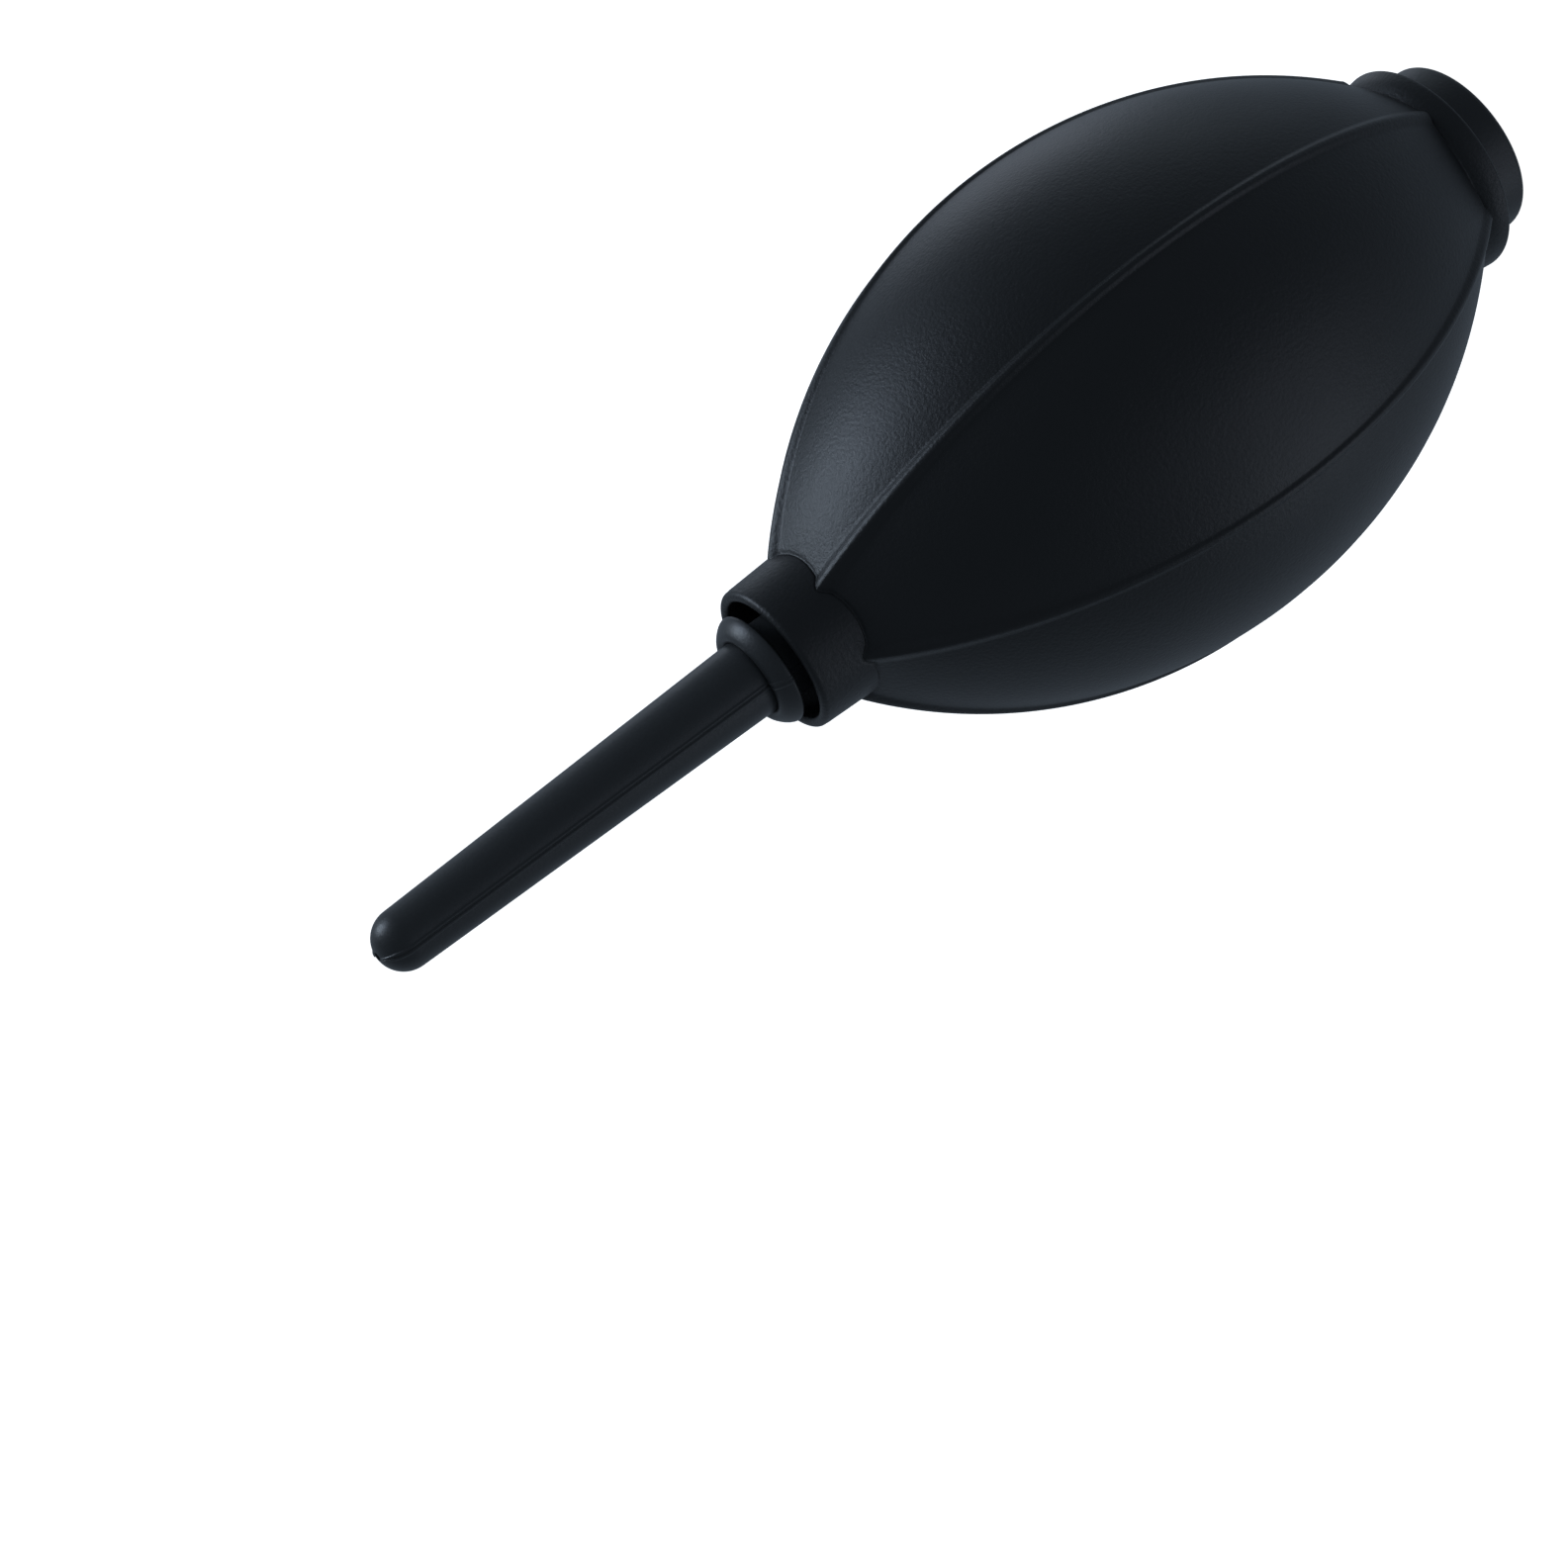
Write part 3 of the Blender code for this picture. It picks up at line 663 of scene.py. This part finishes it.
def make_grille(material):
    """The intake grille: a disc with a dished face and a raised rim, drilled in its middle and round it."""
    rim, dish_z = GRILLE_RADIUS - GRILLE_RIM_WIDTH, GRILLE_BASE_Z + GRILLE_DISH
    corners = [(GRILLE_RADIUS, GRILLE_TOP_Z), (GRILLE_RADIUS, GRILLE_BASE_Z), (rim, GRILLE_BASE_Z)]
    corners += [(rim - GRILLE_SLOPE_WIDTH, dish_z), (GRILLE_EYE_RADIUS, dish_z)]
    corners += [(GRILLE_EYE_RADIUS, GRILLE_TOP_Z)]
    grille = turned("grille_moulding", rounded_corners(corners, GRILLE_ROUND), CAP_SIDES, material)
    places = [(0.0, 0.0)]
    for i in range(GRILLE_HOLES):
        angle = 2 * math.pi * (i + 0.5) / GRILLE_HOLES
        places.append((GRILLE_HOLE_CIRCLE * math.cos(angle), GRILLE_HOLE_CIRCLE * math.sin(angle)))
    drills = []
    for i, place in enumerate(places):
        drill = make_drill(f"grille_drill_{i}", place)
        cut = grille.modifiers.new(drill.name, "BOOLEAN")
        cut.operation, cut.object = "DIFFERENCE", drill
        drills.append(drill)
    graph = bpy.context.evaluated_depsgraph_get()
    grille.data = bpy.data.meshes.new_from_object(grille.evaluated_get(graph))
    grille.modifiers.clear()
    for drill in drills:
        bpy.data.objects.remove(drill)
    grille.data.shade_smooth()
    grille.data.set_sharp_from_angle(angle=math.radians(GRILLE_SHARP_ANGLE))
    return grille


# Materials ---------------------------------------------------------------------------------------------


def grained_surface(name, colour, roughness, grain_mm, grain_depth_mm, mottle):
    """A moulded black surface: a fine grain in its shape and colour, and a roughness that drifts slowly."""
    material = bpy.data.materials.new(name)
    material.use_nodes = True
    nodes, links = material.node_tree.nodes, material.node_tree.links
    shader = nodes["Principled BSDF"]
    place = nodes.new("ShaderNodeTexCoord")
    grain = nodes.new("ShaderNodeTexNoise")
    grain.inputs["Scale"].default_value = 1.0 / (grain_mm * MM)
    grain.inputs["Detail"].default_value = GRAIN_DETAIL
    grain.inputs["Roughness"].default_value = GRAIN_ROUGHNESS
    drift = nodes.new("ShaderNodeTexNoise")
    drift.inputs["Scale"].default_value = 1.0 / DRIFT_SIZE
    drift.inputs["Detail"].default_value = DRIFT_DETAIL
    for noise in (grain, drift):
        links.new(place.outputs["Object"], noise.inputs["Vector"])
    bump = nodes.new("ShaderNodeBump")
    bump.inputs["Strength"].default_value = 1.0
    bump.inputs["Distance"].default_value = grain_depth_mm * MM
    links.new(grain.outputs["Fac"], bump.inputs["Height"])
    links.new(bump.outputs["Normal"], shader.inputs["Normal"])
    shade = nodes.new("ShaderNodeMapRange")
    shade.inputs["To Min"].default_value = roughness - mottle
    shade.inputs["To Max"].default_value = roughness + mottle
    drift_part = nodes.new("ShaderNodeMath")
    drift_part.operation = "MULTIPLY"
    drift_part.inputs[1].default_value = 1 - GRAIN_SHARE
    links.new(drift.outputs["Fac"], drift_part.inputs[0])
    uneven = nodes.new("ShaderNodeMath")
    uneven.operation = "MULTIPLY_ADD"
    uneven.inputs[1].default_value = GRAIN_SHARE
    links.new(grain.outputs["Fac"], uneven.inputs[0])
    links.new(drift_part.outputs["Value"], uneven.inputs[2])
    links.new(uneven.outputs["Value"], shade.inputs["Value"])
    links.new(shade.outputs["Result"], shader.inputs["Roughness"])
    tone = nodes.new("ShaderNodeMix")
    tone.data_type = "RGBA"
    for end, strength in zip("AB", TONE_RANGE):
        tone.inputs[end].default_value = (*(channel * strength for channel in colour), 1.0)
    links.new(grain.outputs["Fac"], tone.inputs["Factor"])
    links.new(tone.outputs["Result"], shader.inputs["Base Color"])
    shader.inputs["Specular IOR Level"].default_value = 0.5
    return material


# Stage -------------------------------------------------------------------------------------------------


def camera_axes():
    """The camera's right, down and forward directions in the frame."""
    along = Vector((0.0, 0.0, 1.0))
    near_angle = math.radians(NEAR_AZIMUTH)
    near = Vector((math.cos(near_angle), math.sin(near_angle), 0.0))
    side = near.cross(along)
    roll, lean = math.radians(ROLL), math.radians(LEAN)
    right = side * math.sin(roll) + (near * math.sin(lean) - along * math.cos(lean)) * math.cos(roll)
    down = side * math.cos(roll) - (near * math.sin(lean) - along * math.cos(lean)) * math.sin(roll)
    forward = -along * math.sin(lean) - near * math.cos(lean)
    return right, down, forward


def make_camera():
    right, down, forward = camera_axes()
    data = bpy.data.cameras.new("camera")
    data.lens = LENS_MM
    data.sensor_width = SENSOR_MM
    data.clip_start, data.clip_end = CLIP_RANGE
    camera = bpy.data.objects.new("camera", data)
    bpy.context.scene.collection.objects.link(camera)
    target = Vector((0.0, 0.0, WIDEST_Z))
    place = target - (right * OFFSET_RIGHT + down * OFFSET_DOWN + forward) * DISTANCE
    turn = Matrix((right, -down, -forward)).transposed()
    camera.matrix_world = Matrix.Translation(place) @ turn.to_4x4()
    bpy.context.scene.camera = camera


def make_light(name, away, turn, size, energy, colour):
    """A round soft box aimed at the bulb, placed by the two angles that LIGHTS explains."""
    right, down, forward = camera_axes()
    away, turn = math.radians(away), math.radians(turn)
    sideways = right * math.cos(turn) - down * math.sin(turn)
    direction = (sideways * math.sin(away) - forward * math.cos(away)).normalized()
    data = bpy.data.lights.new(name, "AREA")
    data.shape = "DISK"
    data.size = size
    data.energy = energy
    data.color = colour
    light = bpy.data.objects.new(name, data)
    bpy.context.scene.collection.objects.link(light)
    light.location = Vector((0.0, 0.0, WIDEST_Z)) + direction * LIGHT_DISTANCE
    light.rotation_mode = "QUATERNION"
    light.rotation_quaternion = direction.to_track_quat("Z", "Y")


def make_floor():
    """A white floor that the object doesn't mirror, and that neither lights it nor shades it."""
    material = bpy.data.materials.new("pale_floor")
    material.use_nodes = True
    shader = material.node_tree.nodes["Principled BSDF"]
    shader.inputs["Base Color"].default_value = FLOOR_COLOUR
    shader.inputs["Roughness"].default_value = FLOOR_ROUGHNESS
    shader.inputs["Emission Color"].default_value = WHITE
    shader.inputs["Emission Strength"].default_value = 1.0
    bpy.ops.mesh.primitive_circle_add(
        vertices=FLOOR_SIDES, radius=FLOOR_RADIUS, fill_type="NGON", location=(0, 0, FLOOR_Z)
    )
    floor = bpy.context.object
    floor.name = "floor"
    floor.data.materials.append(material)
    floor.visible_glossy = False
    floor.visible_diffuse = False
    floor.visible_shadow = False


def make_world():
    """White to the camera. To the object, a pale backdrop behind it and a dim room in front of it."""
    world = bpy.data.worlds.new("studio")
    world.use_nodes = True
    bpy.context.scene.world = world
    nodes, links = world.node_tree.nodes, world.node_tree.links
    place = nodes.new("ShaderNodeTexCoord")
    behind = nodes.new("ShaderNodeVectorMath")
    behind.operation = "DOT_PRODUCT"
    behind.inputs[1].default_value = camera_axes()[2]
    links.new(place.outputs["Generated"], behind.inputs[0])
    share = nodes.new("ShaderNodeMapRange")
    share.interpolation_type = "SMOOTHSTEP"
    share.inputs["From Min"].default_value = ROOM_END
    share.inputs["From Max"].default_value = BACKDROP_START
    share.inputs["To Min"].default_value = ROOM_STRENGTH
    share.inputs["To Max"].default_value = BACKDROP_STRENGTH
    links.new(behind.outputs["Value"], share.inputs["Value"])
    around = nodes["Background"]
    around.inputs["Color"].default_value = (*ROOM_TINT, 1.0)
    links.new(share.outputs["Result"], around.inputs["Strength"])
    seen = nodes.new("ShaderNodeBackground")
    seen.inputs["Color"].default_value = WHITE
    seen.inputs["Strength"].default_value = SEEN_STRENGTH
    path = nodes.new("ShaderNodeLightPath")
    mix = nodes.new("ShaderNodeMixShader")
    links.new(path.outputs["Is Camera Ray"], mix.inputs["Fac"])
    links.new(around.outputs["Background"], mix.inputs[1])
    links.new(seen.outputs["Background"], mix.inputs[2])
    links.new(mix.outputs["Shader"], nodes["World Output"].inputs["Surface"])


def make_stage():
    make_camera()
    make_floor()
    make_world()
    for light in LIGHTS:
        make_light(*light)
    bpy.context.scene.view_settings.view_transform = "Standard"


# The object --------------------------------------------------------------------------------------------

make_stage()
bulb_rubber = grained_surface("bulb_rubber_skin", *BULB_RUBBER)
nozzle_rubber = grained_surface("nozzle_rubber_skin", *NOZZLE_RUBBER)
cap_plastic = grained_surface("tail_cap_plastic", *CAP_PLASTIC)
inner_plastic = grained_surface("valve_plastic_fine", *VALVE_PLASTIC)
foam = grained_surface("filter_foam_cells", *FILTER_FOAM)

skin_back, skin_front = make_bulb_skins(bulb_rubber)
for skin, wall, side in ((skin_front, "front", -1), (skin_back, "back", 1)):
    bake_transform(skin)
    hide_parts("bulb_shell", f"squeeze_wall_{wall}")

root = make_nozzle_root(nozzle_rubber)
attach(root, "nozzle_base")
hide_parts("nozzle_base")

tube = make_nozzle_tube(nozzle_rubber)
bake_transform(tube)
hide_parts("nozzle_tube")

cap = make_tail_cap(cap_plastic)
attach(cap, "bulb")
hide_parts("valve_housing")

grille = make_grille(inner_plastic)
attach(grille, "bulb")
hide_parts("intake_grille")

carried_over = {"dust_filter": foam, "valve_disc": nozzle_rubber, "valve_retainer": inner_plastic}
for node, material in carried_over.items():
    bpy.data.objects[node].data.materials[0] = material
